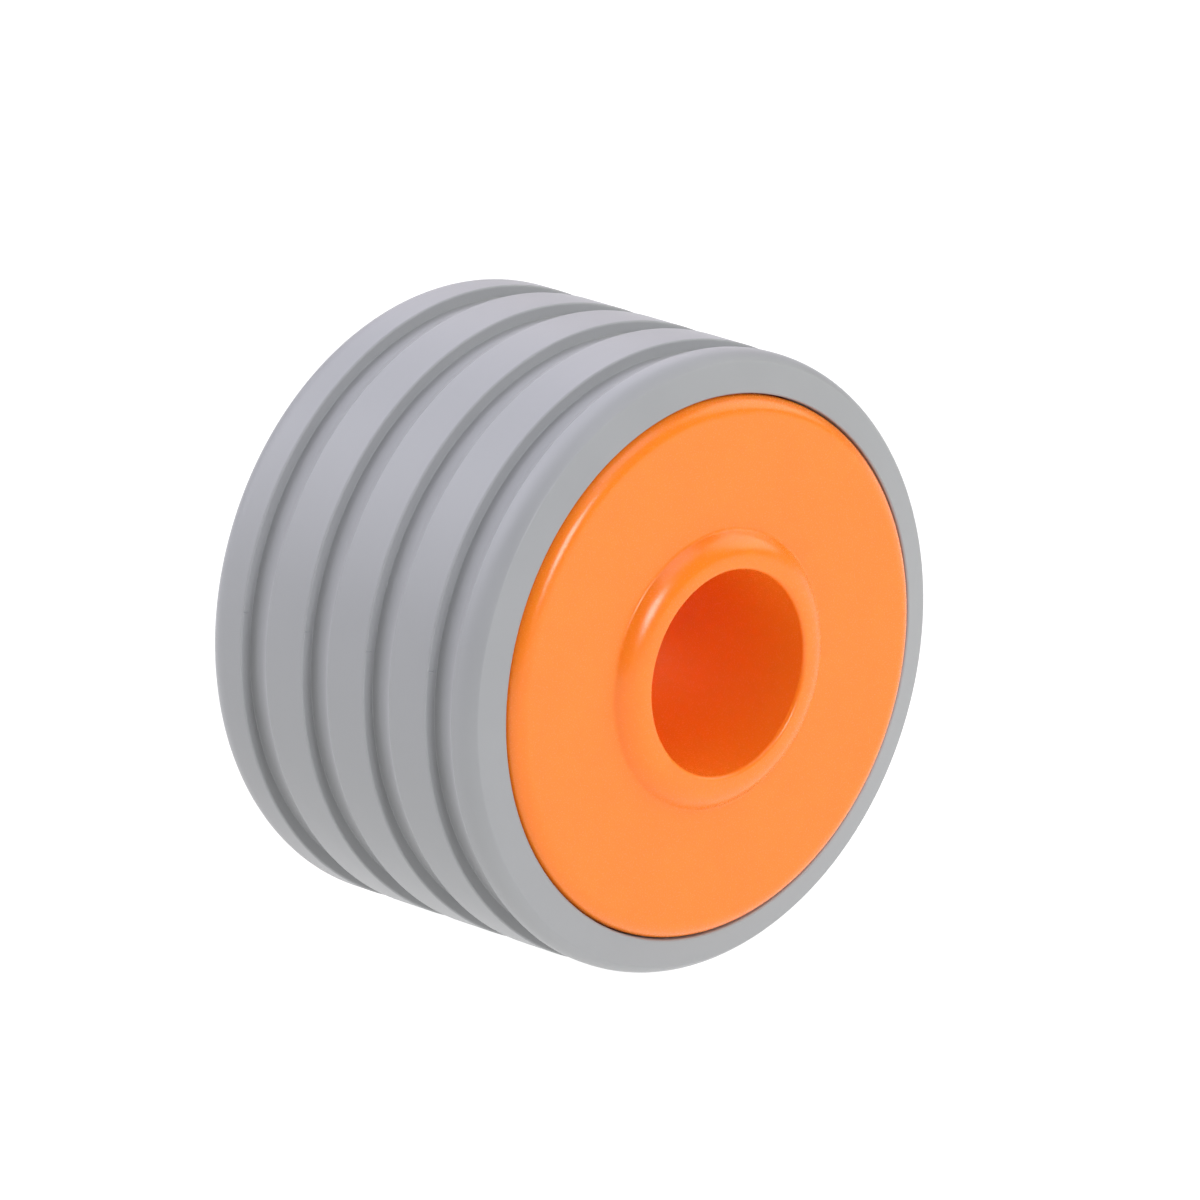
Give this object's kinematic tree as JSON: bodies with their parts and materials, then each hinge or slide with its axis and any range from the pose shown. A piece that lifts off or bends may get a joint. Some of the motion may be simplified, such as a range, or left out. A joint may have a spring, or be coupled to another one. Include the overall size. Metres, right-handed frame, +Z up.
{
  "type": "grooved roller",
  "caption": "Short roller with a ribbed elastomer tread on a rigid drum, and a snapped two-part hub with a raised boss and a plain through bore for an axle.",
  "frame": {"origin": "on the bore axis, half-way between the two boss faces", "axes": "Y along the bore with -Y out of the front face, whose tread grooves have their square walls towards it; X to the right seen from the front; Z up, square to the bore"},
  "size_m": [0.062, 0.0444, 0.062],
  "materials": {
    "tread": "satin grey thermoplastic elastomer, as moulded",
    "drum": "black glass-filled polypropylene, as moulded",
    "hub": "orange acetal, fine satin moulding"
  },
  "bodies": {
    "root": {"tread_sleeve": "tread", "core_drum": "drum", "front_hub_half": "hub", "rear_hub_half": "hub"}
  },
  "joints": []
}
